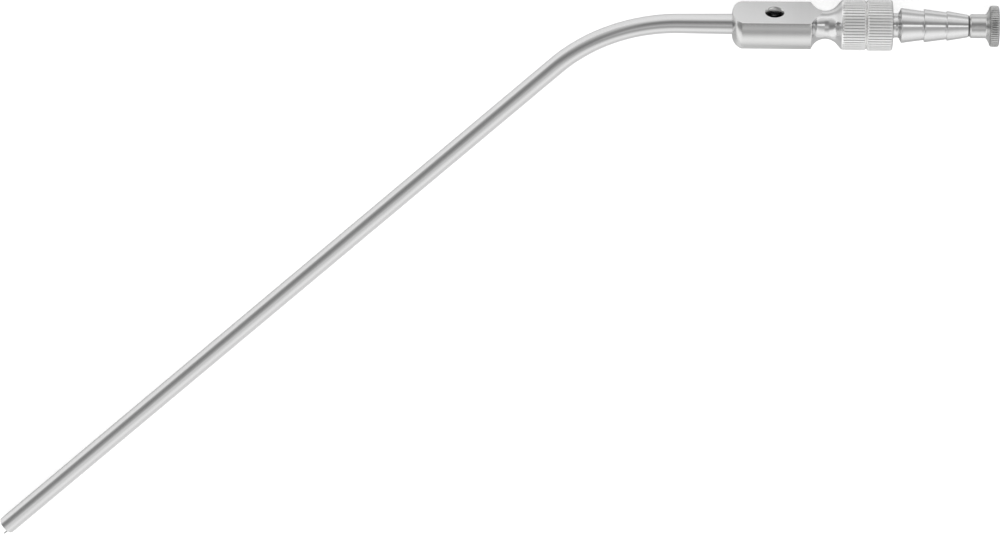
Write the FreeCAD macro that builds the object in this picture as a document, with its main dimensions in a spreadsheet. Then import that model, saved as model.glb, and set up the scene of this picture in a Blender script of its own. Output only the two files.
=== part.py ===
import FreeCAD, Part
import Sketcher
import math
import os

# Angled suction tube with finger cut-off handle, barbed hose connector and stylet, all stainless steel.
# Every piece is modelled along the handle's axis: X runs from the tube towards the stylet's knob,
# Y points out of the thumb flat, and the tube bends away from the thumb flat, in the plane Z = 0.
# X = 0 is the face of the handle that the tube goes into. The finished part is then laid on its side.

doc = FreeCAD.newDocument("angled_suction_tube")
sheet = doc.addObject("Spreadsheet::Sheet", "sizes")

# Driving sizes, in millimetres, degrees or plain counts
driving_sizes = [
    ("bend_angle", 45.8, "turn of the tube out of the handle's axis"),
    ("bend_radius", 34.8, "bend of the tube's centre line"),
    ("straight_run", 10.9, "tube between the handle and the bend"),
    ("slanted_run", 166.9, "tube between the bend and the tip"),
    ("tube_diameter", 3.86, "outside of the tube at the bend and beyond it"),
    ("root_diameter", 4.2, "outside of the tube where it is soldered in"),
    ("tube_wall", 0.43, "wall of the tube beyond the bend"),
    ("socket_depth", 5.5, "how far the tube goes into the handle"),
    ("solder_gap", 0.02, "between the tube and its socket, each side"),
    ("bar_diameter", 10.08, "body of the handle"),
    ("body_length", 16.15, "handle's face to the edge of the waist"),
    ("front_diameter", 5.3, "face of the handle round the tube"),
    ("front_length", 1.9, "rounding of the body's front edge, along the axis"),
    ("front_round", 2.95, "radius of that rounding"),
    ("flat_height", 3.0, "thumb flat above the handle's axis"),
    ("channel_diameter", 3.8, "suction channel inside the handle"),
    ("hole_station", 8.65, "finger hole behind the handle's face"),
    ("hole_diameter", 3.66, "finger hole"),
    ("hole_bevel", 0.3, "bevel round the finger hole"),
    ("waist_diameter", 5.8, "narrowest part of the waist"),
    ("waist_radius", 3.1, "hollow of the waist"),
    ("flank_angle", 49.0, "slope from the waist up to the collar"),
    ("collar_diameter", 10.4, "knurled collar of the handle"),
    ("collar_length", 4.96, "top of the flank to the handle's back face"),
    ("joint_bevel", 0.3, "bevels that form the groove between the two collars"),
    ("thread_diameter", 6.0, "bore in the back of the handle"),
    ("thread_depth", 6.0, "depth of that bore"),
    ("thread_gap", 0.03, "between the spigot and that bore, each side"),
    ("spigot_relief", 0.5, "left free behind the end of the spigot"),
    ("connector_diameter", 10.55, "knurled collar of the connector"),
    ("connector_collar", 5.39, "length of that collar"),
    ("connector_shoulder", 0.35, "bevel of its back edge"),
    ("connector_bore", 2.8, "bore through the connector"),
    ("stem_diameter", 5.0, "neck between collar and barbs"),
    ("stem_length", 1.2, "length of that neck"),
    ("undercut", 0.55, "slope from the neck out to the first barb"),
    ("barb_length", 4.66, "each barb"),
    ("barb_one", 7.2, "edge of the barb next to the collar"),
    ("barb_two", 6.85, "edge of the middle barb"),
    ("barb_three", 6.15, "edge of the barb at the end"),
    ("barb_taper", 1.3, "diameter lost along each of the first two barbs"),
    ("nose_diameter", 4.65, "end of the last barb"),
    ("nose_bevel", 0.3, "bevel of that end"),
    ("shank_diameter", 4.95, "shank of the stylet's knob"),
    ("shank_length", 3.4, "its length, with the bevel"),
    ("shank_bevel", 0.35, "bevel where the shank meets the connector"),
    ("shoulder_length", 0.6, "cone from the shank to the disc"),
    ("shoulder_diameter", 7.0, "where that cone meets the disc"),
    ("disc_diameter", 8.5, "knurled disc of the knob"),
    ("disc_length", 2.08, "its length, with both bevels"),
    ("disc_bevel", 0.25, "bevels of its two edges"),
    ("knurl_depth", 0.2, "depth of the knurl on the two collars"),
    ("knurl_angle", 80.0, "opening angle of each knurl groove"),
    ("disc_knurl_depth", 0.16, "depth of the knurl on the disc"),
    ("knurl_relief", 0.05, "from the bottom of a knurl groove down to the plain edge beside it"),
    ("collar_teeth", 50, "ridges round the handle's collar"),
    ("connector_teeth", 52, "ridges round the connector's collar"),
    ("disc_teeth", 54, "ridges round the disc"),
    ("wire_diameter", 0.35, "stylet wire"),
    ("wire_gap", 0.02, "between the wire and its socket in the knob, each side"),
    ("wire_socket", 3.0, "how far the wire goes into the knob"),
    ("wire_offset", 1.06, "wire from the tube's centre line beyond the bend"),
    ("wire_reach", 1.9, "wire past the tip of the tube"),
    ("cut_margin", 1.0, "how far a cutting outline stands clear of the metal"),
]

# Sizes and places that follow from the driving ones; each line uses only names above it
derived_sizes = [
    ("axis_line", "0"),
    ("handle_face", "0"),
    ("tube_outer", "tube_diameter / 2"),
    ("tube_inner", "tube_outer - tube_wall"),
    ("root_outer", "root_diameter / 2"),
    ("socket_outer", "root_outer + solder_gap"),
    ("bend_start", "-straight_run"),
    ("bend_end_x", "bend_start - bend_radius * sin(bend_angle * 1deg)"),
    ("bend_end_y", "-bend_radius * (1 - cos(bend_angle * 1deg))"),
    ("tip_x", "bend_end_x - slanted_run * cos(bend_angle * 1deg)"),
    ("tip_y", "bend_end_y - slanted_run * sin(bend_angle * 1deg)"),
    ("bar_outer", "bar_diameter / 2"),
    ("front_rim", "front_diameter / 2"),
    ("channel_outer", "channel_diameter / 2"),
    ("waist_outer", "waist_diameter / 2"),
    ("waist_hub", "waist_outer + waist_radius"),
    ("waist_middle", "body_length + sqrt(waist_radius ^ 2 - (waist_hub - bar_outer) ^ 2)"),
    ("flank_start_x", "waist_middle + waist_radius * sin(flank_angle * 1deg)"),
    ("flank_start_y", "waist_hub - waist_radius * cos(flank_angle * 1deg)"),
    ("collar_outer", "collar_diameter / 2"),
    ("collar_start", "flank_start_x + (collar_outer - flank_start_y) / tan(flank_angle * 1deg)"),
    ("joint_face", "collar_start + collar_length"),
    ("collar_bevel_x", "joint_face - joint_bevel"),
    ("collar_plain", "collar_outer - knurl_depth - knurl_relief"),
    ("collar_bevel_y", "collar_plain - joint_bevel"),
    ("thread_outer", "thread_diameter / 2"),
    ("thread_start", "joint_face - thread_depth"),
    ("flat_top", "bar_outer + cut_margin"),
    ("flat_front", "handle_face - cut_margin"),
    ("hole_side", "hole_station + hole_diameter / 2"),
    ("hole_bevel_side", "hole_side + hole_bevel"),
    ("hole_bevel_foot", "flat_height - hole_bevel"),
    ("spigot_outer", "thread_outer - thread_gap"),
    ("spigot_start", "thread_start + spigot_relief"),
    ("bore_outer", "connector_bore / 2"),
    ("connector_outer", "connector_diameter / 2"),
    ("connector_bevel_x", "joint_face + joint_bevel"),
    ("connector_plain", "connector_outer - knurl_depth - knurl_relief"),
    ("connector_bevel_y", "connector_plain - joint_bevel"),
    ("connector_back", "joint_face + connector_collar"),
    ("connector_shoulder_x", "connector_back - connector_shoulder"),
    ("connector_rim", "connector_plain - connector_shoulder"),
    ("stem_outer", "stem_diameter / 2"),
    ("stem_end", "connector_back + stem_length"),
    ("barb_one_x", "stem_end + undercut"),
    ("barb_one_y", "barb_one / 2"),
    ("barb_two_x", "barb_one_x + barb_length"),
    ("barb_one_foot", "(barb_one - barb_taper) / 2"),
    ("barb_two_y", "barb_two / 2"),
    ("barb_three_x", "barb_two_x + barb_length"),
    ("barb_two_foot", "(barb_two - barb_taper) / 2"),
    ("barb_three_y", "barb_three / 2"),
    ("nose_face", "barb_three_x + barb_length"),
    ("nose_outer", "nose_diameter / 2"),
    ("nose_bevel_x", "nose_face - nose_bevel"),
    ("nose_bevel_y", "nose_outer - nose_bevel"),
    ("shank_outer", "shank_diameter / 2"),
    ("shank_bevel_x", "nose_face + shank_bevel"),
    ("shank_bevel_y", "shank_outer - shank_bevel"),
    ("shank_end", "nose_face + shank_length"),
    ("shoulder_x", "shank_end + shoulder_length"),
    ("shoulder_y", "shoulder_diameter / 2"),
    ("disc_outer", "disc_diameter / 2"),
    ("disc_plain", "disc_outer - disc_knurl_depth - knurl_relief"),
    ("disc_rim", "disc_plain - disc_bevel"),
    ("disc_front_x", "shoulder_x + disc_bevel"),
    ("disc_back", "shoulder_x + disc_length"),
    ("disc_back_x", "disc_back - disc_bevel"),
    ("wire_outer", "wire_diameter / 2"),
    ("wire_socket_outer", "wire_outer + wire_gap"),
    ("wire_start", "nose_face + wire_socket"),
    ("wire_corner_shift", "wire_offset / sin(bend_angle * 1deg)"),
    ("wire_bend_start", "bend_start + wire_corner_shift"),
    ("wire_bend_end_x", "bend_end_x + wire_corner_shift"),
    ("wire_end_along", "slanted_run + wire_reach + wire_offset / tan(bend_angle * 1deg)"),
    ("wire_end_x", "wire_bend_end_x - wire_end_along * cos(bend_angle * 1deg)"),
    ("wire_end_y", "bend_end_y - wire_end_along * sin(bend_angle * 1deg)"),
    ("flat_width", "bar_diameter + 2 * cut_margin"),
]

# Behind the thumb flat the hollow of the waist is turned in short straight steps, so that the mesh
# stays light
waist_steps = 4
waist_corners = []
for step in range(1, waist_steps):
    turn = "(flank_angle * %d / %d * 1deg)" % (step, waist_steps)
    corner = ("waist_step_%d_x" % step, "waist_step_%d_y" % step)
    derived_sizes.append((corner[0], "waist_middle + waist_radius * sin" + turn))
    derived_sizes.append((corner[1], "waist_hub - waist_radius * cos" + turn))
    waist_corners.append(corner)

# Each knurl: the piece's outside, the groove's depth, where the groove starts and where it ends
knurls = {
    "collar_knurl": ("collar_outer", "knurl_depth", "waist_middle", "joint_face"),
    "connector_knurl": ("connector_outer", "knurl_depth", "joint_face - cut_margin", "connector_back"),
    "disc_knurl": ("disc_outer", "disc_knurl_depth", "shank_end", "disc_back"),
}
for knurl_name, (outside, depth, first_place, last_place) in knurls.items():
    derived_sizes.append((knurl_name + "_root", outside + " - " + depth))
    derived_sizes.append((knurl_name + "_crest", outside + " + cut_margin"))
    derived_sizes.append((knurl_name + "_side", "(" + depth + " + cut_margin) * tan(knurl_angle / 2 * 1deg)"))
    derived_sizes.append((knurl_name + "_far_side", "-" + knurl_name + "_side"))
    derived_sizes.append((knurl_name + "_start", first_place))
    derived_sizes.append((knurl_name + "_reach", last_place + " + cut_margin - " + knurl_name + "_start"))


def fill_sheet():
    row = 1
    for name, number, meaning in driving_sizes:
        sheet.set("A%d" % row, name)
        sheet.set("B%d" % row, str(number))
        sheet.set("C%d" % row, meaning)
        sheet.setAlias("B%d" % row, name)
        row += 1
    for name, formula in derived_sizes:
        sheet.set("A%d" % row, name)
        sheet.set("B%d" % row, "=" + formula)
        sheet.setAlias("B%d" % row, name)
        row += 1
    doc.recompute()


def size(name):
    # The present value of a named cell
    return float(sheet.get(name))


def bind(target, path, formula):
    target.setExpression(path, formula)


def new_body(label):
    body = doc.addObject("PartDesign::Body", label)
    body.Label = label
    return body


def origin_feature(body, role):
    for feature in body.Origin.OriginFeatures:
        if feature.Role == role:
            return feature
    raise ValueError("no origin feature " + role)


def new_sketch(body, name, role):
    sketch = body.newObject("Sketcher::SketchObject", name)
    sketch.AttachmentSupport = [(origin_feature(body, role), "")]
    sketch.MapMode = "FlatFace"
    return sketch


def fix_coordinates(sketch, edge, point, x_name, y_name):
    # Holds one end of an edge at the two sizes named
    x_rule = sketch.addConstraint(Sketcher.Constraint("DistanceX", edge, point, size(x_name)))
    bind(sketch, "Constraints[%d]" % x_rule, "sizes." + x_name)
    y_rule = sketch.addConstraint(Sketcher.Constraint("DistanceY", edge, point, size(y_name)))
    bind(sketch, "Constraints[%d]" % y_rule, "sizes." + y_name)


def arc_between(first, last, radius, side):
    # The shorter arc from first to last; side 1 puts its centre to the left of the way, -1 to the right
    chord = last - first
    height = math.sqrt(max(radius ** 2 - (chord.Length / 2) ** 2, 0.0))
    left = FreeCAD.Vector(-chord.y, chord.x, 0) / chord.Length
    centre = (first + last) / 2 + left * height * side
    begin = math.atan2(first.y - centre.y, first.x - centre.x)
    finish = math.atan2(last.y - centre.y, last.x - centre.x)
    circle = Part.Circle(centre, FreeCAD.Vector(0, 0, 1), radius)
    if side > 0:
        return Part.ArcOfCircle(circle, begin, finish), 1, 2
    return Part.ArcOfCircle(circle, finish, begin), 2, 1


def draw(sketch, corners, closed):
    # Joins corners, each (x, y) in sheet names; (x, y, radius, side) is reached by an arc, not a line
    places = []
    for corner in corners:
        places.append(FreeCAD.Vector(size(corner[0]), size(corner[1]), 0))
    count = len(corners) if closed else len(corners) - 1
    ends = []
    for number in range(count):
        following = (number + 1) % len(corners)
        target = corners[following]
        if len(target) == 2:
            line = Part.LineSegment(places[number], places[following])
            ends.append((sketch.addGeometry(line, False), 1, 2))
            continue
        arc, begin, finish = arc_between(places[number], places[following], size(target[2]), target[3])
        edge = sketch.addGeometry(arc, False)
        rule = sketch.addConstraint(Sketcher.Constraint("Radius", edge, size(target[2])))
        bind(sketch, "Constraints[%d]" % rule, "sizes." + target[2])
        ends.append((edge, begin, finish))
    for number in range(count):
        edge, begin, finish = ends[number]
        fix_coordinates(sketch, edge, begin, corners[number][0], corners[number][1])
        if number + 1 < count or closed:
            after = ends[(number + 1) % count]
            sketch.addConstraint(Sketcher.Constraint("Coincident", edge, finish, after[0], after[1]))
        else:
            fix_coordinates(sketch, edge, finish, corners[-1][0], corners[-1][1])


def add_circle(sketch, radius_name):
    # A circle about the sketch's origin
    circle = Part.Circle(FreeCAD.Vector(0, 0, 0), FreeCAD.Vector(0, 0, 1), size(radius_name))
    edge = sketch.addGeometry(circle, False)
    sketch.addConstraint(Sketcher.Constraint("Coincident", edge, 3, -1, 1))
    rule = sketch.addConstraint(Sketcher.Constraint("Radius", edge, size(radius_name)))
    bind(sketch, "Constraints[%d]" % rule, "sizes." + radius_name)


def turned(body, name, corners):
    # A piece turned about the X axis from its half section
    section = new_sketch(body, name + "_section", "XY_Plane")
    draw(section, corners, True)
    turning = body.newObject("PartDesign::Revolution", name)
    turning.Profile = section
    turning.ReferenceAxis = (section, ["H_Axis"])
    turning.Angle = 360.0
    return turning


def piped(body, name, corners, start_name, radius_names):
    # A round pipe or wire along a route in the XY plane; it starts square to X at the place named
    route = new_sketch(body, name + "_route", "XY_Plane")
    draw(route, corners, False)
    ring = new_sketch(body, name + "_section", "YZ_Plane")
    bind(ring, "AttachmentOffset.Base.z", "sizes." + start_name)
    for radius_name in radius_names:
        add_circle(ring, radius_name)
    doc.recompute()
    pipe = body.newObject("PartDesign::AdditivePipe", name)
    pipe.Profile = ring
    pipe.Spine = (route, [])
    doc.recompute()
    return pipe


def cut_down(body, cut):
    # Checks that a cut has taken metal away: one that points the wrong way does nothing
    before = cut.BaseFeature.Shape.Volume
    doc.recompute()
    if not body.Shape.Volume < before:
        raise ValueError(cut.Name + " cuts nothing")


def knurled(body, name, teeth_name):
    # Straight knurling: one V groove along the axis, repeated round it
    section = new_sketch(body, name + "_section", "YZ_Plane")
    bind(section, "AttachmentOffset.Base.z", "sizes." + name + "_start")
    draw(section, [(name + "_root", "axis_line"),
                   (name + "_crest", name + "_side"),
                   (name + "_crest", name + "_far_side")], True)
    doc.recompute()
    groove = body.newObject("PartDesign::Pocket", name + "_groove")
    groove.Profile = section
    groove.Type = "Length"
    groove.Reversed = True
    bind(groove, "Length", "sizes." + name + "_reach")
    cut_down(body, groove)
    ring = body.newObject("PartDesign::PolarPattern", name)
    ring.Originals = [groove]
    ring.Axis = (origin_feature(body, "X_Axis"), [""])
    ring.Angle = 360.0
    bind(ring, "Occurrences", "sizes." + teeth_name)
    body.Tip = ring
    doc.recompute()


def make_suction_tube():
    body = new_body("suction_tube")
    turned(body, "tube_root", [
        ("socket_depth", "tube_inner"),
        ("socket_depth", "root_outer"),
        ("handle_face", "root_outer"),
        ("bend_start", "tube_outer"),
        ("bend_start", "tube_inner"),
    ])
    piped(body, "tube_bend", [
        ("bend_start", "axis_line"),
        ("bend_end_x", "bend_end_y", "bend_radius", 1),
        ("tip_x", "tip_y"),
    ], "bend_start", ["tube_outer", "tube_inner"])
    return body


def make_handle():
    body = new_body("handle")
    turned(body, "handle_turning", [
        ("handle_face", "socket_outer"),
        ("handle_face", "front_rim"),
        ("front_length", "bar_outer", "front_round", -1),
        ("body_length", "bar_outer"),
        ("waist_middle", "waist_outer", "waist_radius", 1),
        *waist_corners,
        ("flank_start_x", "flank_start_y"),
        ("collar_start", "collar_outer"),
        ("collar_bevel_x", "collar_outer"),
        ("collar_bevel_x", "collar_plain"),
        ("joint_face", "collar_bevel_y"),
        ("joint_face", "thread_outer"),
        ("thread_start", "thread_outer"),
        ("thread_start", "channel_outer"),
        ("socket_depth", "channel_outer"),
        ("socket_depth", "socket_outer"),
    ])

    flat = new_sketch(body, "thumb_flat_outline", "XY_Plane")
    draw(flat, [("flat_front", "flat_height"),
                ("flat_front", "flat_top"),
                ("waist_middle", "flat_top"),
                ("waist_middle", "flat_height")], True)
    doc.recompute()
    milling = body.newObject("PartDesign::Pocket", "thumb_flat")
    milling.Profile = flat
    milling.Type = "Length"
    milling.Midplane = True
    bind(milling, "Length", "sizes.flat_width")
    cut_down(body, milling)

    hole = new_sketch(body, "finger_hole_section", "XY_Plane")
    draw(hole, [("hole_station", "axis_line"),
                ("hole_side", "axis_line"),
                ("hole_side", "hole_bevel_foot"),
                ("hole_bevel_side", "flat_height"),
                ("hole_bevel_side", "flat_top"),
                ("hole_station", "flat_top")], True)
    doc.recompute()
    drilling = body.newObject("PartDesign::Groove", "finger_hole")
    drilling.Profile = hole
    drilling.ReferenceAxis = (hole, ["Edge6"])
    drilling.Angle = 360.0
    cut_down(body, drilling)

    knurled(body, "collar_knurl", "collar_teeth")
    return body


def make_hose_connector():
    body = new_body("hose_connector")
    turned(body, "connector_turning", [
        ("spigot_start", "bore_outer"),
        ("spigot_start", "spigot_outer"),
        ("joint_face", "spigot_outer"),
        ("joint_face", "connector_bevel_y"),
        ("connector_bevel_x", "connector_plain"),
        ("connector_bevel_x", "connector_outer"),
        ("connector_shoulder_x", "connector_outer"),
        ("connector_shoulder_x", "connector_plain"),
        ("connector_back", "connector_rim"),
        ("connector_back", "stem_outer"),
        ("stem_end", "stem_outer"),
        ("barb_one_x", "barb_one_y"),
        ("barb_two_x", "barb_one_foot"),
        ("barb_two_x", "barb_two_y"),
        ("barb_three_x", "barb_two_foot"),
        ("barb_three_x", "barb_three_y"),
        ("nose_bevel_x", "nose_outer"),
        ("nose_face", "nose_bevel_y"),
        ("nose_face", "bore_outer"),
    ])
    doc.recompute()
    knurled(body, "connector_knurl", "connector_teeth")
    return body


def make_stylet_knob():
    body = new_body("stylet_knob")
    turned(body, "knob_turning", [
        ("nose_face", "wire_socket_outer"),
        ("nose_face", "shank_bevel_y"),
        ("shank_bevel_x", "shank_outer"),
        ("shank_end", "shank_outer"),
        ("shoulder_x", "shoulder_y"),
        ("shoulder_x", "disc_rim"),
        ("disc_front_x", "disc_plain"),
        ("disc_front_x", "disc_outer"),
        ("disc_back_x", "disc_outer"),
        ("disc_back_x", "disc_plain"),
        ("disc_back", "disc_rim"),
        ("disc_back", "axis_line"),
        ("wire_start", "axis_line"),
        ("wire_start", "wire_socket_outer"),
    ])
    doc.recompute()
    knurled(body, "disc_knurl", "disc_teeth")
    return body


def make_stylet_wire():
    body = new_body("stylet_wire")
    piped(body, "wire_run", [
        ("wire_start", "axis_line"),
        ("wire_bend_start", "axis_line"),
        ("wire_bend_end_x", "bend_end_y", "bend_radius", 1),
        ("wire_end_x", "wire_end_y"),
    ], "wire_start", ["wire_outer"])
    return body


def lay_down(pieces):
    # The part rests on the connector's collar and the tip of the tube, so it rolls a little about X;
    # the origin is under the middle of the part as it lies
    roll = math.asin((size("connector_outer") - size("tube_outer")) / abs(size("tip_y")))
    turn = FreeCAD.Rotation(FreeCAD.Vector(1, 0, 0), math.degrees(roll))
    whole = Part.makeCompound([piece.Shape for piece in pieces])
    whole.Placement = FreeCAD.Placement(FreeCAD.Vector(0, 0, 0), turn)
    box = whole.optimalBoundingBox(False, False)
    middle = FreeCAD.Vector((box.XMin + box.XMax) / 2, (box.YMin + box.YMax) / 2, box.ZMin)
    for piece in pieces:
        piece.Placement = FreeCAD.Placement(-middle, turn)
    doc.recompute()
    print("roll %.3f degrees, origin from the handle's face %s" % (math.degrees(roll), middle))
    print("size %.2f x %.2f x %.2f" % (box.XLength, box.YLength, box.ZLength))


def check(pieces):
    for thing in doc.Objects:
        if "Invalid" in thing.State or "Error" in thing.State:
            raise ValueError(thing.Name + " failed: " + str(thing.State))
    for piece in pieces:
        if piece.Shape.isNull() or not piece.Shape.isValid() or len(piece.Shape.Solids) != 1:
            raise ValueError(piece.Label + " is not one valid solid")


fill_sheet()
pieces = [
    make_suction_tube(),
    make_handle(),
    make_hose_connector(),
    make_stylet_knob(),
    make_stylet_wire(),
]
doc.recompute()
check(pieces)
lay_down(pieces)
check(pieces)

os.makedirs("parts", exist_ok=True)
for piece in pieces:
    piece.Shape.exportStep("parts/" + piece.Label + ".step")
    print(piece.Label, "%.2f mm3" % piece.Shape.Volume)
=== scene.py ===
import math
import bmesh
import bpy
from mathutils import Matrix, Vector


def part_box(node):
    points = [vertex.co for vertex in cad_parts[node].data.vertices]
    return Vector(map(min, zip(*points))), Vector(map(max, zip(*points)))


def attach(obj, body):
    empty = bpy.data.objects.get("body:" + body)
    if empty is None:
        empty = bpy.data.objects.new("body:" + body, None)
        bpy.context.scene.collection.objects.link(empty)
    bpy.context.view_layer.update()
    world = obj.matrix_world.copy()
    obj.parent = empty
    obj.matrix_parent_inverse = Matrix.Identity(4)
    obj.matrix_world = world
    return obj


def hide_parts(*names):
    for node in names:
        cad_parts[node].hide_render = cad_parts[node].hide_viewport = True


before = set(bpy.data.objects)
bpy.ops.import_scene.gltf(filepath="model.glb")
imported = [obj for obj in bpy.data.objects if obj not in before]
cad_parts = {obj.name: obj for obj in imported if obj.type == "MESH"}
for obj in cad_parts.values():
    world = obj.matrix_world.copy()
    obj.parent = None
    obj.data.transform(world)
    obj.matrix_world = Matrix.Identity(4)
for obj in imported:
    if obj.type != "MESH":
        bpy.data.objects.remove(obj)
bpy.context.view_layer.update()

# Bent suction tube with a flatted handle, knurled collars, barbed hose end and a stylet, in satin steel.
# Pieces are drawn in millimetres along the handle's axis: x from the handle's front face to the knob,
# y out of the thumb flat, z across it. The place matrix lays them where the CAD nodes lie.

mm = 0.001
longestRun = 0.5  # between two stations of a turned piece
cornerSteps = 4  # in each rounded corner of an outline
bevelRound = 0.05  # softened edge of a turned bevel
nearAxis = 0.001  # radius that closes an end at the axis
sharpAngle = {"drawn": 50, "turned": 28}  # degrees past which an edge stays sharp

knurl = {
    "depth": 0.2,
    "discDepth": 0.16,
    "halfAngle": 40.0,
    "openShare": 0.9,  # of the half angle; past it a groove is wider than any ridge
    "crestRound": 0.03,  # softened edge of each ridge
}


# Outlines

def roundCorners(corners):
    # corners are (x, radius, rounding); each rounding becomes a short arc
    outline = []
    for number, (x, y, rounding) in enumerate(corners):
        corner = Vector((x, y))
        if not rounding:
            outline.append((x, y))
            continue
        before = Vector(corners[number - 1][:2]) - corner
        after = Vector(corners[(number + 1) % len(corners)][:2]) - corner
        opening = before.angle(after)
        reach = rounding / math.tan(opening / 2)
        inward = (before.normalized() + after.normalized()).normalized()
        middle = corner + inward * rounding / math.sin(opening / 2)
        first = corner + before.normalized() * reach - middle
        last = corner + after.normalized() * reach - middle
        turn = first.angle_signed(last)
        for step in range(cornerSteps + 1):
            spoke = first.copy()
            spoke.rotate(Matrix.Rotation(-turn * step / cornerSteps, 2))
            outline.append(tuple(middle + spoke))
    return outline


def arcPoints(middle, radius, start, end, steps):
    # Points between the two ends of an arc; angles in degrees, 0 towards +x
    points = []
    for step in range(1, steps):
        angle = math.radians(start + (end - start) * step / steps)
        points.append((middle[0] + radius * math.cos(angle), middle[1] + radius * math.sin(angle), 0))
    return points


def arcBetween(first, last, radius, steps):
    # Points between two places on an arc that bulges away from the axis, ends left out
    first = Vector(first)
    chord = Vector(last) - first
    inward = Vector((chord.y, -chord.x)).normalized()
    middle = first + chord / 2 + inward * math.sqrt(radius ** 2 - (chord.length / 2) ** 2)
    start = math.degrees(math.atan2(first.y - middle.y, first.x - middle.x))
    end = math.degrees(math.atan2(last[1] - middle.y, last[0] - middle.x))
    return arcPoints(middle, radius, start % 360, end % 360, steps)


def splitRuns(outline):
    # Adds stations to long runs so that the grid stays even
    points = []
    for number, (x, y) in enumerate(outline):
        nextX, nextY = outline[(number + 1) % len(outline)]
        count = max(1, math.ceil(math.hypot(nextX - x, nextY - y) / longestRun))
        for step in range(count):
            share = step / count
            points.append((x + (nextX - x) * share, y + (nextY - y) * share))
    return points


# Meshes

def newObject(name, mesh):
    piece = bpy.data.objects.new(name, mesh)
    bpy.context.scene.collection.objects.link(piece)
    return piece


def gridMesh(name, rings, closedAlong=True):
    # rings of points, each closed round; the grid may close along as well
    count = len(rings[0])
    vertices = [point for ring in rings for point in ring]
    faces = []
    lastRing = len(rings) if closedAlong else len(rings) - 1
    for ring in range(lastRing):
        following = (ring + 1) % len(rings)
        for side in range(count):
            nextSide = (side + 1) % count
            faces.append((ring * count + side, ring * count + nextSide,
                          following * count + nextSide, following * count + side))
    mesh = bpy.data.meshes.new(name)
    mesh.from_pydata(vertices, [], faces)
    return mesh


def finishPiece(piece, sharp):
    # Normals outward, sharp edges by angle, and the piece put in its place
    mesh = piece.data
    work = bmesh.new()
    work.from_mesh(mesh)
    bmesh.ops.remove_doubles(work, verts=work.verts, dist=1e-5)
    bmesh.ops.recalc_face_normals(work, faces=work.faces)
    for face in work.faces:
        face.smooth = True
    for edge in work.edges:
        edge.smooth = len(edge.link_faces) == 2 and edge.calc_face_angle(0) < math.radians(sharp)
    work.to_mesh(mesh)
    work.free()
    mesh.transform(place)
    weighted = piece.modifiers.new("weightedNormals", "WEIGHTED_NORMAL")
    weighted.keep_sharp = True
    weighted.weight = 60
    return piece


def toothAngles(teeth, depth, top):
    # Angles round a knurled piece: each groove has its middle, sides and crest edges
    halfAngle = math.radians(knurl["halfAngle"])
    edge = halfAngle - math.asin((top - depth) * math.sin(halfAngle) / top)
    soft = knurl["crestRound"] / top
    pitch = 2 * math.pi / teeth
    offsets = [0, edge / 2, edge, edge + soft, pitch / 2, pitch - edge - soft, pitch - edge, pitch - edge / 2]
    return [pitch * tooth + offset for tooth in range(teeth) for offset in offsets]


def grooveRadius(angle, teeth, root):
    # How far out a knurl groove reaches at this angle
    pitch = 2 * math.pi / teeth
    away = abs((angle + pitch / 2) % pitch - pitch / 2)
    halfAngle = math.radians(knurl["halfAngle"])
    if away > halfAngle * knurl["openShare"]:
        return math.inf
    return root * math.sin(halfAngle) / math.sin(halfAngle - away)


def turnedMesh(name, corners, teeth, depth, top, ruled):
    # Turns the corners round the axis; stations between the two ends of ruled are knurled
    angles = toothAngles(teeth, depth, top)
    rings = []
    for x, radius in splitRuns(roundCorners(corners)):
        ring = []
        for angle in angles:
            reach = radius
            if ruled[0] <= x <= ruled[1]:
                reach = min(radius, grooveRadius(angle, teeth, top - depth))
            ring.append((x, reach * math.cos(angle), reach * math.sin(angle)))
        rings.append(ring)
    return gridMesh(name, rings)


def evenAngles(count):
    return [2 * math.pi * side / count for side in range(count)]


def sweptRing(centre, direction, radius, sides):
    # A ring round a route that stays in the plane z = 0
    across = Vector((-direction.y, direction.x, 0))
    ring = []
    for angle in evenAngles(sides):
        ring.append(centre + across * (radius * math.cos(angle)) + Vector((0, 0, radius * math.sin(angle))))
    return ring


def addGrain(mesh, lengths, sides):
    # Puts the millimetres along the piece and the steps round it into a UV map
    layer = mesh.uv_layers.new(name="grain")
    for polygon in mesh.polygons:
        ids = [mesh.loops[loop].vertex_index for loop in polygon.loop_indices]
        wraps = max(i % sides for i in ids) - min(i % sides for i in ids) > sides / 2
        for loop, vertex in zip(polygon.loop_indices, ids):
            side = vertex % sides
            if wraps and side == 0:
                side = sides
            layer.data[loop].uv = (lengths[vertex // sides], side)


def sweptMesh(name, stations, sides):
    # stations are (centre, direction, radius)
    rings = [sweptRing(centre, direction, radius, sides) for centre, direction, radius in stations]
    lengths = [0.0]
    for before, after in zip(stations, stations[1:]):
        lengths.append(lengths[-1] + (after[0] - before[0]).length)
    mesh = gridMesh(name, rings)
    addGrain(mesh, lengths, sides)
    return mesh


# Tube

tube = {
    "radius": 1.93,
    "rootRadius": 2.1,  # where it enters the handle
    "bendStartRadius": 2.02,
    "narrowed": 0.4,  # share of the bend that brings it down to the radius
    "wall": 0.43,
    "socketDepth": 5.5,
    "straightRun": 10.9,
    "bendRadius": 34.8,
    "bendAngle": 45.8,
    "slantedRun": 166.9,
    "tipRound": 0.16,  # blunted rim of the tip
    "tipBevel": 0.03,  # inner edge of the rim
    "sides": 96,
    "bendRings": 60,
    "slantedRings": 40,
    "tipRings": 6,
}


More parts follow.
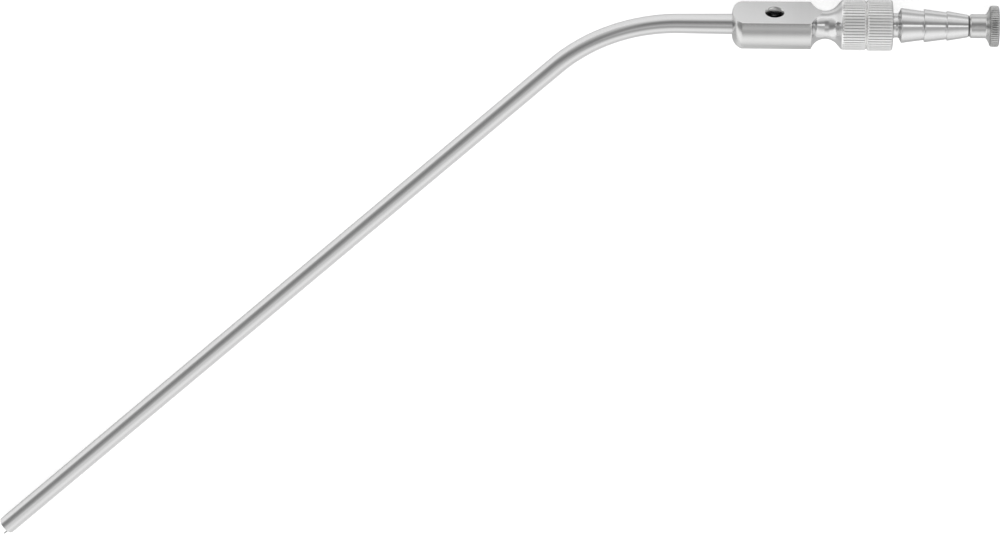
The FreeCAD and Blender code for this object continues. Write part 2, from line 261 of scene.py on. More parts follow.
def tubeRoute(shift, start, reach):
    # Centres and directions from the handle to the tip; shift moves them off the tube's middle
    bend = math.radians(tube["bendAngle"])
    corner = shift / math.sin(bend)
    route = [(Vector((start, 0, 0)), Vector((-1, 0, 0)))]
    bendStart = -tube["straightRun"] + corner
    hub = Vector((bendStart, -tube["bendRadius"], 0))
    for step in range(tube["bendRings"] + 1):
        angle = bend * step / tube["bendRings"]
        centre = hub + Vector((-math.sin(angle), math.cos(angle), 0)) * tube["bendRadius"]
        route.append((centre, Vector((-math.cos(angle), -math.sin(angle), 0))))
    centre, direction = route[-1]
    along = tube["slantedRun"] + reach + shift / math.tan(bend)
    route.append((centre + direction * along, direction))
    return route


def makeTube():
    route = tubeRoute(0, 0, 0)
    innerRadius = tube["radius"] - tube["wall"]
    outer = [(*route[0], tube["rootRadius"])]
    for number, (centre, direction) in enumerate(route[1:-1]):
        share = min(1, number / (tube["bendRings"] * tube["narrowed"]))
        radius = tube["bendStartRadius"] + (tube["radius"] - tube["bendStartRadius"]) * share
        outer.append((centre, direction, radius))
    tip, direction = route[-1]
    bendEnd = route[-2][0]
    for step in range(1, tube["slantedRings"]):
        outer.append((bendEnd.lerp(tip, step / tube["slantedRings"]), direction, tube["radius"]))
    socket = (Vector((tube["socketDepth"], 0, 0)), Vector((-1, 0, 0)))
    stations = [(*socket, innerRadius), (*socket, tube["rootRadius"]), *outer]
    for step in range(tube["tipRings"] + 1):
        angle = math.radians(90 * step / tube["tipRings"])
        back = tube["tipRound"] * (1 - math.sin(angle))
        inward = tube["tipRound"] * (1 - math.cos(angle))
        stations.append((tip - direction * back, direction, tube["radius"] - inward))
    stations.append((tip, direction, innerRadius + tube["tipBevel"]))
    stations.append((tip - direction * tube["tipBevel"], direction, innerRadius))
    for centre, direction, radius in reversed(outer[1:]):
        stations.append((centre, direction, innerRadius))
    piece = newObject("drawn_tube", sweptMesh("tube", stations, tube["sides"]))
    return finishPiece(piece, sharpAngle["drawn"])


# The place of the pieces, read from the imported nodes

def findPlace():
    low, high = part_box("handle")
    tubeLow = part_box("suction_tube")[0]
    axis = Vector((low.x, (low.y + high.y) / 2, (low.z + high.z) / 2))
    tipY = tubeLow.y + tube["radius"] * math.cos(math.radians(tube["bendAngle"])) * mm
    roll = math.atan2(axis.z - tube["radius"] * mm, axis.y - tipY)
    return Matrix.Translation(axis) @ Matrix.Rotation(roll, 4, "X") @ Matrix.Scale(mm, 4)


place = findPlace()
jointFace = (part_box("handle")[1].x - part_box("handle")[0].x) / mm
noseFace = (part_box("hose_connector")[1].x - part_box("handle")[0].x) / mm
discBack = (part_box("stylet_knob")[1].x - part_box("handle")[0].x) / mm


# Handle

handle = {
    "bodyRadius": 5.04,
    "bodyLength": 16.15,
    "bodyEndRound": 0.24,
    "frontRadius": 2.65,  # face round the tube
    "frontLength": 1.9,
    "frontRound": 2.95,
    "flatHeight": 3.0,  # thumb flat above the axis
    "flatEdge": 0.035,  # broken edges of the flat
    "socketRadius": 2.12,
    "socketRound": 0.04,
    "channelRadius": 1.9,
    "holeStation": 8.65,
    "holeRadius": 1.67,
    "holeBevel": 0.36,  # bevelled mouth, across and down
    "holeBevelDepth": 0.75,
    "holeLip": 0.05,  # softened edge of the mouth, across and down
    "holeLipDepth": 0.04,
    "holeSides": 96,
    "waistRadius": 2.9,
    "waistHollow": 3.1,
    "flankAngle": 49.0,
    "flankRound": 0.1,
    "collarRadius": 5.2,
    "collarLead": 0.5,  # shallow plain bevel before the knurl
    "jointBevel": 0.42,
    "threadRadius": 3.0,
    "threadDepth": 6.0,
    "frontSteps": 14,
    "waistSteps": 40,
    "teeth": 50,
}
cutterClear = {"front": 1.0, "side": 2.0, "above": 3.0}  # how far the cutters reach past the handle

waistY = handle["waistRadius"] + handle["waistHollow"]  # middle of the waist's hollow
waistDrop = waistY - handle["bodyRadius"]
waistX = handle["bodyLength"] + math.sqrt(handle["waistHollow"] ** 2 - waistDrop ** 2)
flank = math.radians(handle["flankAngle"])
flankX = waistX + handle["waistHollow"] * math.sin(flank)
flankY = waistY - handle["waistHollow"] * math.cos(flank)
knurlRoot = handle["collarRadius"] - knurl["depth"]
flankTop = flankX + (knurlRoot - flankY) / math.tan(flank)
knurlStart = flankTop + handle["collarLead"]


def makeCutter(name, rings, closedAlong):
    mesh = gridMesh(name, rings, closedAlong)
    work = bmesh.new()
    work.from_mesh(mesh)
    if not closedAlong:
        bmesh.ops.holes_fill(work, edges=work.edges)
    bmesh.ops.recalc_face_normals(work, faces=work.faces)
    work.to_mesh(mesh)
    work.free()
    return newObject(name, mesh)


def makeFlatCutter():
    # Everything above the thumb flat up to the waist, with the flat's two long edges broken
    height = handle["flatHeight"]
    radius = handle["bodyRadius"]
    half = math.acos(height / radius)
    reach = radius * math.cos(half / 2) - handle["flatEdge"]
    corner = (reach - height * math.cos(half / 2)) / math.sin(half / 2)
    farZ = radius + cutterClear["side"]
    farY = (reach - farZ * math.sin(half / 2)) / math.cos(half / 2)
    section = [(farY, -farZ), (height, -corner), (height, corner), (farY, farZ), (farZ, farZ), (farZ, -farZ)]
    rings = [[(x, y, z) for y, z in section] for x in (-cutterClear["front"], waistX)]
    return makeCutter("flatCutter", rings, False)


def makeHoleCutter():
    # A drill with a bevelled mouth, square to the flat; the mouth's edge is softened
    radius = handle["holeRadius"]
    mouth = radius + handle["holeBevel"]
    height = handle["flatHeight"]
    top = height + cutterClear["above"]
    outline = [(0, nearAxis), (0, radius), (height - handle["holeBevelDepth"], radius),
               (height - handle["holeLipDepth"], mouth - handle["holeLip"]), (height, mouth),
               (top, mouth), (top, nearAxis)]
    rings = []
    for y, reach in outline:
        rings.append([(handle["holeStation"] + reach * math.cos(angle), y, reach * math.sin(angle))
                      for angle in evenAngles(handle["holeSides"])])
    return makeCutter("holeCutter", rings, True)


def makeHandle():
    outerRadius = handle["bodyRadius"]
    collar = handle["collarRadius"]
    entry = math.degrees(math.acos((waistY - outerRadius) / handle["waistHollow"]))
    threadStart = jointFace - handle["threadDepth"]
    bevel = handle["jointBevel"]
    front = (0, handle["frontRadius"])
    shoulder = (handle["frontLength"], outerRadius)
    corners = [(0, handle["socketRadius"], handle["socketRound"]), (*front, 0)]
    corners += arcBetween(front, shoulder, handle["frontRound"], handle["frontSteps"])
    corners += [(*shoulder, 0), (handle["bodyLength"], outerRadius, handle["bodyEndRound"])]
    corners += arcPoints((waistX, waistY), handle["waistHollow"], -90 - entry, -90 + handle["flankAngle"],
                         handle["waistSteps"])
    corners += [(flankX, flankY, 0), (flankTop, knurlRoot, handle["flankRound"]), (knurlStart, collar, 0),
                (jointFace - bevel, collar, bevelRound), (jointFace, collar - bevel, 0),
                (jointFace, handle["threadRadius"], 0), (threadStart, handle["threadRadius"], 0),
                (threadStart, handle["channelRadius"], 0), (tube["socketDepth"], handle["channelRadius"], 0),
                (tube["socketDepth"], handle["socketRadius"], 0)]
    body = newObject("turned_handle", turnedMesh("handle", corners, handle["teeth"], knurl["depth"], collar,
                                                 (knurlStart, jointFace)))
    cutters = [makeFlatCutter(), makeHoleCutter()]
    for cutter in cutters:
        cut = body.modifiers.new("cut", "BOOLEAN")
        cut.operation = "DIFFERENCE"
        cut.solver = "EXACT"
        cut.object = cutter
    bpy.context.view_layer.update()
    shaped = bpy.data.meshes.new_from_object(body.evaluated_get(bpy.context.evaluated_depsgraph_get()))
    body.modifiers.clear()
    body.data = shaped
    for cutter in cutters:
        bpy.data.objects.remove(cutter)
    return finishPiece(body, sharpAngle["turned"])


# Hose connector

connector = {
    "spigotRadius": 2.97,
    "boreRadius": 1.4,
    "collarRadius": 5.275,
    "collarLength": 5.39,
    "collarRound": 0.6,  # rounded back edge
    "knurlEnd": 0.35,  # last stretch of the collar, without grooves
    "stemRadius": 2.5,
    "stemLength": 1.2,
    "stemFillet": 0.5,
    "undercut": 0.55,
    "barbRadii": [3.6, 3.425, 3.075],
    "barbLength": 4.66,
    "barbTaper": 0.65,
    "barbLip": 0.12,  # softened edge of each barb
    "barbFoot": 0.15,  # fillet before the next barb
    "noseRadius": 2.325,
    "noseBevel": 0.3,
    "teeth": 52,
}


def makeConnector():
    collar = connector["collarRadius"]
    back = jointFace + connector["collarLength"]
    stem = connector["stemRadius"]
    bevel = handle["jointBevel"]
    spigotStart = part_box("hose_connector")[0].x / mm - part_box("handle")[0].x / mm
    barbX = back + connector["stemLength"] + connector["undercut"]
    corners = [(spigotStart, connector["boreRadius"], 0), (spigotStart, connector["spigotRadius"], 0),
               (jointFace, connector["spigotRadius"], 0), (jointFace, collar - bevel, 0),
               (jointFace + bevel, collar, bevelRound), (back, collar, connector["collarRound"]),
               (back, stem, connector["stemFillet"]),
               (back + connector["stemLength"], stem, connector["stemFillet"])]
    radii = connector["barbRadii"]
    for number, radius in enumerate(radii):
        end = barbX + connector["barbLength"]
        corners.append((barbX, radius, connector["barbLip"]))
        if number + 1 < len(radii):
            corners.append((end, radius - connector["barbTaper"], connector["barbFoot"]))
        barbX = end
    corners += [(noseFace - connector["noseBevel"], connector["noseRadius"], bevelRound),
                (noseFace, connector["noseRadius"] - connector["noseBevel"], 0),
                (noseFace, connector["boreRadius"], 0)]
    mesh = turnedMesh("connector", corners, connector["teeth"], knurl["depth"], collar,
                      (jointFace, back - connector["knurlEnd"]))
    return finishPiece(newObject("barbed_connector", mesh), sharpAngle["turned"])


# Stylet: knob and wire

knob = {
    "shankRadius": 2.475,
    "shankLength": 3.4,
    "shankBevel": 0.35,
    "shankEndRound": 0.3,
    "shoulderRadius": 3.5,
    "shoulderLength": 0.6,
    "discRadius": 4.25,
    "discFront": 0.72,  # rounded edge towards the shank
    "discRound": 0.5,
    "socketRadius": 0.195,
    "wireSocket": 3.0,
    "teeth": 54,
}

wire = {
    "radius": 0.175,
    "offset": 1.06,  # from the tube's middle, towards the outside of the bend
    "reach": 1.9,  # past the tip
    "endRound": 0.04,
    "sides": 20,
}

shankEnd = noseFace + knob["shankLength"]
discStart = shankEnd + knob["shoulderLength"]
wireStart = noseFace + knob["wireSocket"]


def makeKnob():
    shank = knob["shankRadius"]
    disc = knob["discRadius"]
    corners = [(noseFace, knob["socketRadius"], 0), (noseFace, shank - knob["shankBevel"], 0),
               (noseFace + knob["shankBevel"], shank, bevelRound), (shankEnd, shank, knob["shankEndRound"]),
               (discStart, knob["shoulderRadius"], 0), (discStart, disc, knob["discFront"]),
               (discBack, disc, knob["discRound"]), (discBack, nearAxis, 0), (wireStart, nearAxis, 0),
               (wireStart, knob["socketRadius"], 0)]
    mesh = turnedMesh("knob", corners, knob["teeth"], knurl["discDepth"], disc, (shankEnd, discBack))
    return finishPiece(newObject("knurled_knob", mesh), sharpAngle["turned"])


def makeWire():
    route = tubeRoute(wire["offset"], wireStart, wire["reach"])
    stations = [(*route[0], nearAxis), (*route[0], wire["radius"])]
    for centre, direction in route[1:-1]:
        stations.append((centre, direction, wire["radius"]))
    end, direction = route[-1]
    stations.append((end - direction * wire["endRound"], direction, wire["radius"]))
    stations.append((end, direction, wire["radius"] - wire["endRound"]))
    stations.append((end, direction, nearAxis))
    piece = newObject("stylet_wire_drawn", sweptMesh("wire", stations, wire["sides"]))
    return finishPiece(piece, sharpAngle["drawn"])


print("sizes set")

pieces = {
    "suction_tube": (makeTube(), "tube_steel"),
    "handle": (makeHandle(), "handle_steel"),
    "hose_connector": (makeConnector(), "connector_steel"),
    "stylet_knob": (makeKnob(), "knob_steel"),
    "stylet_wire": (makeWire(), "wire_steel"),
}
for node, (piece, slot) in pieces.items():
    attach(piece, "root")
    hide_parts(node)
    print(node, len(piece.data.vertices), "points")


# Node helpers

def connect(tree, socket, value):
    # value is a number or another node's output
    if isinstance(value, (int, float)):
        socket.default_value = value
    else:
        tree.links.new(value, socket)


def calculate(tree, operation, first, second=0.0):
    # One sum in a node tree
    node = tree.nodes.new("ShaderNodeMath")
    node.operation = operation
    connect(tree, node.inputs[0], first)
    connect(tree, node.inputs[1], second)
    return node.outputs[0]


def splitVector(tree, vector):
    node = tree.nodes.new("ShaderNodeSeparateXYZ")
    tree.links.new(vector, node.inputs[0])
    return node.outputs


def newGroup(name, inputs, outputs):
    # A node group with plain value sockets; a vector input is named "Point"
    group = bpy.data.node_groups.new(name, "ShaderNodeTree")
    for label in inputs:
        kind = "NodeSocketVector" if label == "Point" else "NodeSocketFloat"
        group.interface.new_socket(name=label, in_out="INPUT", socket_type=kind)
    for label in outputs:
        group.interface.new_socket(name=label, in_out="OUTPUT", socket_type="NodeSocketFloat")
    return group, group.nodes.new("NodeGroupInput"), group.nodes.new("NodeGroupOutput")


def useGroup(tree, group, values):
    node = tree.nodes.new("ShaderNodeGroup")
    node.node_tree = group
    for label, value in values.items():
        connect(tree, node.inputs[label], value)
    return node


# Steel

finish = {
    "drawn": {"colour": (0.64, 0.64, 0.64), "rough": 0.2, "marks": 0.05, "depth": 0.004, "smudge": 0.05},
    "satin": {"colour": (0.64, 0.64, 0.635), "rough": 0.24, "marks": 0.05, "depth": 0.004, "smudge": 0.04},
    "milled": {"colour": (0.64, 0.64, 0.64), "rough": 0.3, "marks": 0.04, "depth": 0.004, "smudge": 0.04},
    "polished": {"colour": (0.68, 0.68, 0.68), "rough": 0.14, "marks": 0.04, "depth": 0.002, "smudge": 0.05},
    # Painted light: the knurled steel is coloured far lighter than the rest, standing in for light bounced
    # between its ridges
    "knurled": {"colour": (0.94, 0.94, 0.935), "rough": 0.38, "marks": 0.06, "depth": 0.004, "smudge": 0.06,
                "metallic": 0.58},
    # Painted light: the bevel steel is coloured lighter than the rest, so that the lead bevels and the
    # joints' V grooves don't fall dark
    "bevel": {"colour": (0.86, 0.86, 0.855), "rough": 0.22, "marks": 0.05, "depth": 0.004, "smudge": 0.05,
              "metallic": 0.8},
    "disc": {"colour": (0.58, 0.58, 0.575), "rough": 0.28, "marks": 0.06, "depth": 0.004, "smudge": 0.06},
    # Painted shade: the seam steel is dark, for the shade in the joint where the knob closes on the nose
    "seam": {"colour": (0.3, 0.3, 0.3), "rough": 0.35, "marks": 0.1, "depth": 0.004, "smudge": 0.15},
    # Painted shade: the bore steel is near black, for the shade inside channels, sockets, threads and the
    # finger hole's foot
    "bore": {"colour": (0.06, 0.06, 0.06), "rough": 0.45, "marks": 0.2, "depth": 0.004, "smudge": 0.3},
    "wire": {"colour": (0.5, 0.5, 0.5), "rough": 0.28, "marks": 0.06, "depth": 0.002, "smudge": 0.05},
}
grooveShade = 0.6  # painted shade: how much of the colour is left at the bottom of a knurl groove
stainRoughness = 1.5  # how much rougher the steel is where a stain lightens it
strokeStretch = {"along": 0.03, "around": 0.35}  # of a drawn tube's long lines
bumpStrength = 0.15


def makeNoise(tree, spot, scale, detail, alongOne=False):
    # Noise through space, or along one number
    noise = tree.nodes.new("ShaderNodeTexNoise")
    noise.noise_dimensions = "1D" if alongOne else "3D"
    noise.inputs["Scale"].default_value = scale
    noise.inputs["Detail"].default_value = detail
    tree.links.new(spot, noise.inputs["W" if alongOne else "Vector"])
    return noise.outputs[0]


def spread(tree, noise, amount):
    # Noise about zero, as far either way as the amount lets it
    return calculate(tree, "MULTIPLY", calculate(tree, "SUBTRACT", noise, 0.5), amount)


def makeTurnedMarks():
    # Fine rings left by the lathe and the polishing belt: Along is the place along the axis in millimetres
    group, given, result = newGroup("turnedMarks", ["Point", "Along", "Marks", "Smudge"],
                                    ["Tone", "Roughness", "Height"])
    rings = makeNoise(group, given.outputs["Along"], scale=9.0, detail=6, alongOne=True)
    bands = makeNoise(group, given.outputs["Along"], scale=0.8, detail=3, alongOne=True)
    stains = makeNoise(group, given.outputs["Point"], scale=260.0, detail=4)
    lines = spread(group, rings, given.outputs["Marks"])
    broad = spread(group, bands, given.outputs["Marks"])
    stain = spread(group, stains, given.outputs["Smudge"])
    tone = calculate(group, "ADD", calculate(group, "ADD", lines, broad), stain)
    rough = calculate(group, "SUBTRACT", calculate(group, "MULTIPLY", stain, stainRoughness), lines)
    group.links.new(calculate(group, "ADD", tone, 1.0), result.inputs["Tone"])
    group.links.new(rough, result.inputs["Roughness"])
    group.links.new(rings, result.inputs["Height"])
    return group


def makeDrawnMarks():
    # Long faint lines of a drawn tube: Along is in millimetres, Around in steps round it
    group, given, result = newGroup("drawnMarks", ["Point", "Along", "Around", "Marks", "Smudge"],
                                    ["Tone", "Roughness", "Height"])
    join = group.nodes.new("ShaderNodeCombineXYZ")
    along = calculate(group, "MULTIPLY", given.outputs["Along"], strokeStretch["along"])
    around = calculate(group, "MULTIPLY", given.outputs["Around"], strokeStretch["around"])
    group.links.new(along, join.inputs["X"])
    group.links.new(around, join.inputs["Y"])
    strokes = makeNoise(group, join.outputs[0], scale=2.0, detail=5)
    stains = makeNoise(group, given.outputs["Point"], scale=160.0, detail=4)
    lines = spread(group, strokes, given.outputs["Marks"])
    stain = spread(group, stains, given.outputs["Smudge"])
    rough = calculate(group, "SUBTRACT", calculate(group, "MULTIPLY", stain, stainRoughness), lines)
    tone = calculate(group, "ADD", lines, stain)
    group.links.new(calculate(group, "ADD", tone, 1.0), result.inputs["Tone"])
    group.links.new(rough, result.inputs["Roughness"])
    group.links.new(strokes, result.inputs["Height"])
    return group


def makeHandleFrame():
    # Place along the handle's axis and distance from it, both in millimetres
    group, given, result = newGroup("handleFrame", ["Point"], ["Along", "Reach"])
    offsets = []
    for output, start in zip(splitVector(group, given.outputs["Point"]), place.translation):
        offsets.append(calculate(group, "MULTIPLY", calculate(group, "SUBTRACT", output, start), 1 / mm))
    along, acrossY, acrossZ = offsets
    square = calculate(group, "ADD", calculate(group, "MULTIPLY", acrossY, acrossY),
                       calculate(group, "MULTIPLY", acrossZ, acrossZ))
    group.links.new(along, result.inputs["Along"])
    group.links.new(calculate(group, "SQRT", square), result.inputs["Reach"])
    return group


def makeKnurlShade():
    # Painted shade: darkens a tone down a groove; Bottom and Top are a groove and a ridge, in millimetres
    # from the axis
    group, given, result = newGroup("knurlShade", ["Tone", "Reach", "Bottom", "Top"], ["Tone"])
    crest = group.nodes.new("ShaderNodeMapRange")
    group.links.new(given.outputs["Reach"], crest.inputs["Value"])
    group.links.new(given.outputs["Bottom"], crest.inputs["From Min"])
    group.links.new(given.outputs["Top"], crest.inputs["From Max"])
    crest.inputs["To Min"].default_value = grooveShade
    shaded = calculate(group, "MULTIPLY", given.outputs["Tone"], crest.outputs["Result"])
    group.links.new(shaded, result.inputs["Tone"])
    return group


turnedMarks = makeTurnedMarks()
drawnMarks = makeDrawnMarks()
handleFrame = makeHandleFrame()
knurlShade = makeKnurlShade()


def steel(name, kind, drawn=False, knurlReach=None):
    # knurlReach is the groove's bottom and the ridge's top, in millimetres from the axis
    look = finish[kind]
    material = bpy.data.materials.new(name)
    material.use_nodes = True
    tree = material.node_tree
    shader = tree.nodes["Principled BSDF"]
    shader.inputs["Metallic"].default_value = look.get("metallic", 1)
    point = tree.nodes.new("ShaderNodeTexCoord").outputs["Object"]
    values = {"Point": point, "Marks": look["marks"], "Smudge": look["smudge"]}
    if drawn:
        grain = tree.nodes.new("ShaderNodeUVMap")
        grain.uv_map = "grain"
        way = splitVector(tree, grain.outputs[0])
        marks = useGroup(tree, drawnMarks, {**values, "Along": way["X"], "Around": way["Y"]})
    else:
        lie = useGroup(tree, handleFrame, {"Point": point})
        marks = useGroup(tree, turnedMarks, {**values, "Along": lie.outputs["Along"]})
    tone = marks.outputs["Tone"]
    # the knurl's grooves get painted shade, darker towards their bottoms
    if knurlReach:
        heights = {"Bottom": knurlReach[0], "Top": knurlReach[1]}
        shade = useGroup(tree, knurlShade, {**heights, "Tone": tone, "Reach": lie.outputs["Reach"]})
        tone = shade.outputs["Tone"]
    colour = tree.nodes.new("ShaderNodeMix")
    colour.data_type = "RGBA"
    colour.inputs["A"].default_value = (0, 0, 0, 1)
    colour.inputs["B"].default_value = (*look["colour"], 1)
    colour.clamp_factor = False
    tree.links.new(tone, colour.inputs["Factor"])
    tree.links.new(colour.outputs["Result"], shader.inputs["Base Color"])
    rough = calculate(tree, "ADD", marks.outputs["Roughness"], look["rough"])
    tree.links.new(rough, shader.inputs["Roughness"])
    bump = tree.nodes.new("ShaderNodeBump")
    bump.inputs["Strength"].default_value = bumpStrength
    bump.inputs["Distance"].default_value = look["depth"] * mm
    tree.links.new(marks.outputs["Height"], bump.inputs["Height"])
    tree.links.new(bump.outputs[0], shader.inputs["Normal"])
    return material


# Which finish each face has, by the place of its middle and its distance from the axis

hair = 0.01  # a face's middle this near a surface lies on it
insideRound = 0.02  # just inside a rounded or softened edge
flankStrip = 0.1  # last of the flank, finished as the lead is
holeFoot = 0.05  # lowest of the finger hole's wall, given the bore's painted shade
discRim = {"depth": 0.5, "front": 0.1}  # ring of the disc that is finished as its knurl, in and forward
discSkin = 1.0  # last of the disc, which has no bore
collarBack = 0.12  # last of the connector's collar, finished as the stem is
noseRing = 0.25  # painted shade: dark ring of the nose where the knob closes on it


def handleSurface(spot, reach):
    inChannel = reach < handle["channelRadius"] + holeFoot
    inSocket = spot.x < tube["socketDepth"] + hair and reach < handle["socketRadius"] + handle["socketRound"]
    inThread = spot.x > jointFace - handle["threadDepth"] - hair and reach < handle["threadRadius"] + hair
    # channels, sockets and threads get the bore's painted shade
    if inChannel or inSocket or inThread:
        return "bore"
    if spot.x < waistX and abs(spot.y - handle["flatHeight"]) < hair:
        return "milled"
    if spot.x < handle["bodyLength"] + insideRound:
        return "satin"
    if knurlStart < spot.x <= jointFace - handle["jointBevel"] + insideRound:
        return "knurled"
    return "bevel" if spot.x > flankTop - flankStrip else "polished"


def connectorSurface(spot, reach):
    if reach < connector["boreRadius"] + hair or spot.x < jointFace - hair:
        return "bore"
    if spot.x < jointFace + handle["jointBevel"] - insideRound:
        return "bevel"
    if spot.x > noseFace - noseRing:
        return "seam"
    return "knurled" if spot.x < jointFace + connector["collarLength"] - collarBack else "polished"


def knobSurface(spot, reach):
    if reach < knob["socketRadius"] + hair and spot.x < discBack - discSkin:
        return "bore"
    onDisc = reach > knob["discRadius"] - discRim["depth"] and spot.x > discStart - discRim["front"]
    return "disc" if onDisc else "satin"


def dressTurned(piece, surfaceAt, top, depth):
    # Gives each face its finish; top is the knurl's ridge and depth its groove
    back = place.inverted()
    chosen = []
    for polygon in piece.data.polygons:
        spot = back @ polygon.center
        chosen.append(surfaceAt(spot, math.hypot(spot.y, spot.z)))
    kinds = sorted(set(chosen), key=chosen.count, reverse=True)
    piece.data.materials.clear()
    for kind in kinds:
        knurlReach = (top - depth, top) if kind in ("knurled", "disc") else None
        piece.data.materials.append(steel(piece.name + "_" + kind, kind, knurlReach=knurlReach))
    for polygon, kind in zip(piece.data.polygons, chosen):
        polygon.material_index = kinds.index(kind)


def dressDrawn(piece, kind):
    piece.data.materials.append(steel(piece.name + "_" + kind, kind, drawn=True))


dressDrawn(pieces["suction_tube"][0], "drawn")
dressTurned(pieces["handle"][0], handleSurface, handle["collarRadius"], knurl["depth"])
dressTurned(pieces["hose_connector"][0], connectorSurface, connector["collarRadius"], knurl["depth"])
dressTurned(pieces["stylet_knob"][0], knobSurface, knob["discRadius"], knurl["discDepth"])
dressDrawn(pieces["stylet_wire"][0], "wire")
print("materials made")


# Light patterns

def addShare(tree, value, ends):
    # 0 before the first of the two ends and 1 past the second
    share = tree.nodes.new("ShaderNodeMapRange")
    share.interpolation_type = "SMOOTHSTEP"
    share.inputs["From Min"].default_value = ends[0]
    share.inputs["From Max"].default_value = ends[1]
    tree.links.new(value, share.inputs["Value"])
    return share.outputs["Result"]


def addMix(tree, factor, first, second):
    mix = tree.nodes.new("ShaderNodeMix")
    mix.data_type = "FLOAT"
    connect(tree, mix.inputs["Factor"], factor)
    connect(tree, mix.inputs["A"], first)
    connect(tree, mix.inputs["B"], second)
    return mix.outputs["Result"]


def addRamp(tree, share, levels):
    # levels are (degrees, brightness), halved in the ramp so that none is past 1
    ramp = tree.nodes.new("ShaderNodeValToRGB")
    ramp.color_ramp.interpolation = "EASE"
    stops = ramp.color_ramp.elements
    while len(stops) < len(levels):
        stops.new(0.5)
    for stop, (angle, level) in zip(stops, levels):
        stop.position = (angle + 180) / 360
        stop.color = (level / 2, level / 2, level / 2, 1)
    tree.links.new(share, ramp.inputs["Fac"])
    return ramp.outputs["Color"]


# Floor: its glow keeps it pale to the camera and in the steel, and adds no other light. The camera sees it
# even. The steel sees it dimmer in some directions, as it does the world: a painted shadow of the piece,
# straight below, towards the bend, and in a band behind the knurled end.

floorLook = {
    "reach": 6.0,  # metres
    "colour": 0.8,
    "seen": 0.64,
    "mirrored": 0.55,
}
# Where and how much the mirrored glow is dimmed: a painted shadow of the piece
paintedFloorShadow = {
    "bandBegins": (0.12, 0.5),  # slope of the mirrored ray, 0 level and 1 upright
    "bandEnds": (0.6, 0.82),
    "bandX": (0.058, 0.066),  # place on the floor, in metres
    "bandShare": 0.9,
    "bendward": (-0.2, 0.5),  # the mirrored ray's part along y
    "past": (0.6, 0.88),  # where the two shares below take over
    "pastX": (0.02, 0.075),
    "pastShares": (0.3, 0.95),  # at the tube, at the connector
    "under": (0.86, 0.97),
    "underShare": 0.25,
}


def paintShadowIntoMirrored(tree, mirrored):
    # Paints the piece's shadow into the mirrored glow: takes the dim shares off it, by the mirrored ray and
    # the place that it meets
    geometry = tree.nodes.new("ShaderNodeNewGeometry")
    ray = splitVector(tree, geometry.outputs["Incoming"])
    spot = splitVector(tree, geometry.outputs["Position"])
    begun = addShare(tree, ray["Z"], paintedFloorShadow["bandBegins"])
    notEnded = calculate(tree, "SUBTRACT", 1.0, addShare(tree, ray["Z"], paintedFloorShadow["bandEnds"]))
    band = calculate(tree, "MULTIPLY", calculate(tree, "MULTIPLY", begun, notEnded), paintedFloorShadow["bandShare"])
    band = calculate(tree, "MULTIPLY", band, addShare(tree, spot["X"], paintedFloorShadow["bandX"]))
    past = addMix(tree, addShare(tree, spot["X"], paintedFloorShadow["pastX"]), *paintedFloorShadow["pastShares"])
    amount = addMix(tree, addShare(tree, ray["Y"], paintedFloorShadow["past"]), 1.0, past)
    bendward = calculate(tree, "MULTIPLY", addShare(tree, ray["Y"], paintedFloorShadow["bendward"]), amount)
    under = calculate(tree, "MULTIPLY", addShare(tree, ray["Z"], paintedFloorShadow["under"]), paintedFloorShadow["underShare"])
    for share in (band, bendward, under):
        mirrored = calculate(tree, "MULTIPLY", mirrored, calculate(tree, "SUBTRACT", 1.0, share))
    return mirrored


def makeFloor():
    mesh = bpy.data.meshes.new("floor")
    reach = floorLook["reach"]
    mesh.from_pydata([(-reach, -reach, 0), (reach, -reach, 0), (reach, reach, 0), (-reach, reach, 0)], [],
                     [(0, 1, 2, 3)])
    floor = newObject("floor", mesh)
    material = bpy.data.materials.new("paleFloor")
    material.use_nodes = True
    tree = material.node_tree
    tree.nodes.clear()
    output = tree.nodes.new("ShaderNodeOutputMaterial")
    matte = tree.nodes.new("ShaderNodeBsdfDiffuse")
    matte.inputs["Color"].default_value = (*[floorLook["colour"]] * 3, 1)
    glow = tree.nodes.new("ShaderNodeEmission")
    glow.inputs["Color"].default_value = (1, 1, 1, 1)
    path = tree.nodes.new("ShaderNodeLightPath")
    seen = calculate(tree, "MULTIPLY", path.outputs["Is Camera Ray"], floorLook["seen"])
    mirrored = calculate(tree, "MULTIPLY", path.outputs["Is Glossy Ray"], floorLook["mirrored"])
    mirrored = paintShadowIntoMirrored(tree, mirrored)
    tree.links.new(calculate(tree, "ADD", seen, mirrored), glow.inputs["Strength"])
    total = tree.nodes.new("ShaderNodeAddShader")
    tree.links.new(matte.outputs[0], total.inputs[0])
    tree.links.new(glow.outputs[0], total.inputs[1])
    tree.links.new(total.outputs[0], output.inputs["Surface"])
    mesh.materials.append(material)


makeFloor()


# World: brightness by direction round the x axis, in degrees from straight up, + towards +y. Light that
# comes along the handle, from the knob's side or the tube's side, has patterns of its own.

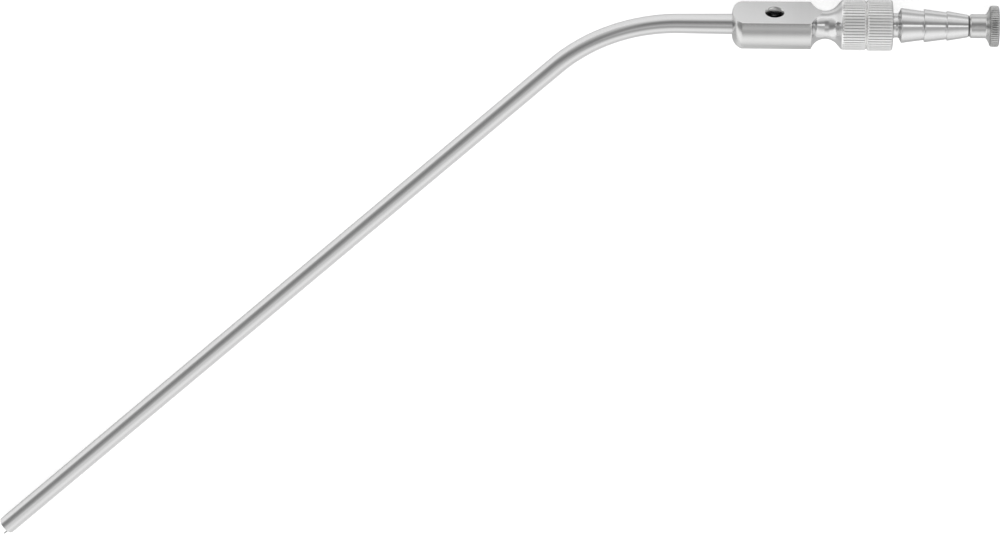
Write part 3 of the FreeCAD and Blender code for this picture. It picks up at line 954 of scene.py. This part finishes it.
studio = [(-180, 0.9), (-105, 0.75), (-90, 0.85), (-78, 1.1), (-66, 1.32), (-56, 1.45), (-44, 1.48),
          (-33, 1.35), (-24, 1.07), (-17, 0.79), (-10, 0.6), (-4, 0.58), (3, 0.7), (11, 0.88), (18, 0.81),
          (24, 0.57), (29, 0.54), (34, 0.44), (40, 0.36), (50, 0.32), (58, 0.4), (66, 0.72), (74, 1.08),
          (84, 1.28), (97, 1.2), (110, 1.0), (125, 0.8), (180, 0.9)]
knobSide = [(-180, 0.9), (-106, 1.15), (-89, 1.2), (-76, 1.2), (-64, 1.3), (-54, 1.44), (-42, 1.5),
            (-28, 1.42), (-18, 1.22), (-10, 1.02), (-3, 0.82), (5, 0.68), (18, 0.66), (23.5, 0.9),
            (27.5, 1.85), (34, 1.85), (37, 0.95), (40, 0.46), (46, 0.42), (52, 0.44), (59, 0.6), (66, 0.88),
            (74, 1.1), (84, 1.2), (95, 1.1), (105, 0.8), (115, 0.7), (140, 0.7), (180, 0.9)]
tubeSide = [(-180, 0.8), (-90, 1.1), (-65, 1.6), (-25, 1.5), (0, 0.5), (18, 0.34), (40, 0.46), (62, 0.8),
            (90, 1.2), (120, 1.1), (180, 0.8)]
knobReach = (0.1, 0.27)  # how far along x a direction points where the knob's side comes in and rules
tubeReach = (0.2, 0.5)
worldStrength = 0.8


def makeWorld():
    world = bpy.data.worlds.new("studio")
    bpy.context.scene.world = world
    world.use_nodes = True
    tree = world.node_tree
    tree.nodes.clear()
    output = tree.nodes.new("ShaderNodeOutputWorld")
    background = tree.nodes.new("ShaderNodeBackground")
    background.inputs["Color"].default_value = (1, 1, 1, 1)
    way = splitVector(tree, tree.nodes.new("ShaderNodeTexCoord").outputs["Generated"])
    turn = calculate(tree, "ARCTAN2", way["Y"], way["Z"])
    share = calculate(tree, "ADD", calculate(tree, "MULTIPLY", turn, 0.5 / math.pi), 0.5)
    level = addRamp(tree, share, studio)
    level = addMix(tree, addShare(tree, way["X"], knobReach), level, addRamp(tree, share, knobSide))
    backward = calculate(tree, "MULTIPLY", way["X"], -1.0)
    level = addMix(tree, addShare(tree, backward, tubeReach), level, addRamp(tree, share, tubeSide))
    bright = calculate(tree, "MULTIPLY", level, 2 * worldStrength)  # the ramps hold half the levels
    path = tree.nodes.new("ShaderNodeLightPath")
    tree.links.new(addMix(tree, path.outputs["Is Camera Ray"], bright, 1.0), background.inputs["Strength"])
    tree.links.new(background.outputs[0], output.inputs["Surface"])


makeWorld()


# Camera

view = {
    "offPlane": 33.63,  # turn of the camera from straight above, towards the thumb flat
    "roll": 0.527,
    "distance": 1700.0,
    "besideHandle": 47.6002,  # from the handle's front face back to the middle of the picture
    "belowHandle": 50.0269,
    "frameWidth": 204.994,  # width of the picture at the handle's axis
}


def makeCamera():
    lens = bpy.data.cameras.new("photoView")
    lens.sensor_width = 36
    lens.lens = lens.sensor_width * view["distance"] / view["frameWidth"]
    lens.clip_start = 0.01
    lens.clip_end = 50
    camera = newObject("photoView", lens)
    turn = math.radians(view["offPlane"])
    back = Vector((0, math.sin(turn), math.cos(turn)))
    rise = Vector((0, math.cos(turn), -math.sin(turn)))
    roll = math.radians(view["roll"])
    right = Vector((1, 0, 0)) * math.cos(roll) + rise * math.sin(roll)
    upward = rise * math.cos(roll) - Vector((1, 0, 0)) * math.sin(roll)
    shift = back * view["distance"] - right * view["besideHandle"] - upward * view["belowHandle"]
    spot = place.translation + shift * mm
    camera.matrix_world = Matrix((
        (right.x, upward.x, back.x, spot.x),
        (right.y, upward.y, back.y, spot.y),
        (right.z, upward.z, back.z, spot.z),
        (0, 0, 0, 1)))
    bpy.context.scene.camera = camera


makeCamera()
bpy.context.scene.view_settings.view_transform = "Standard"
print("stage set")
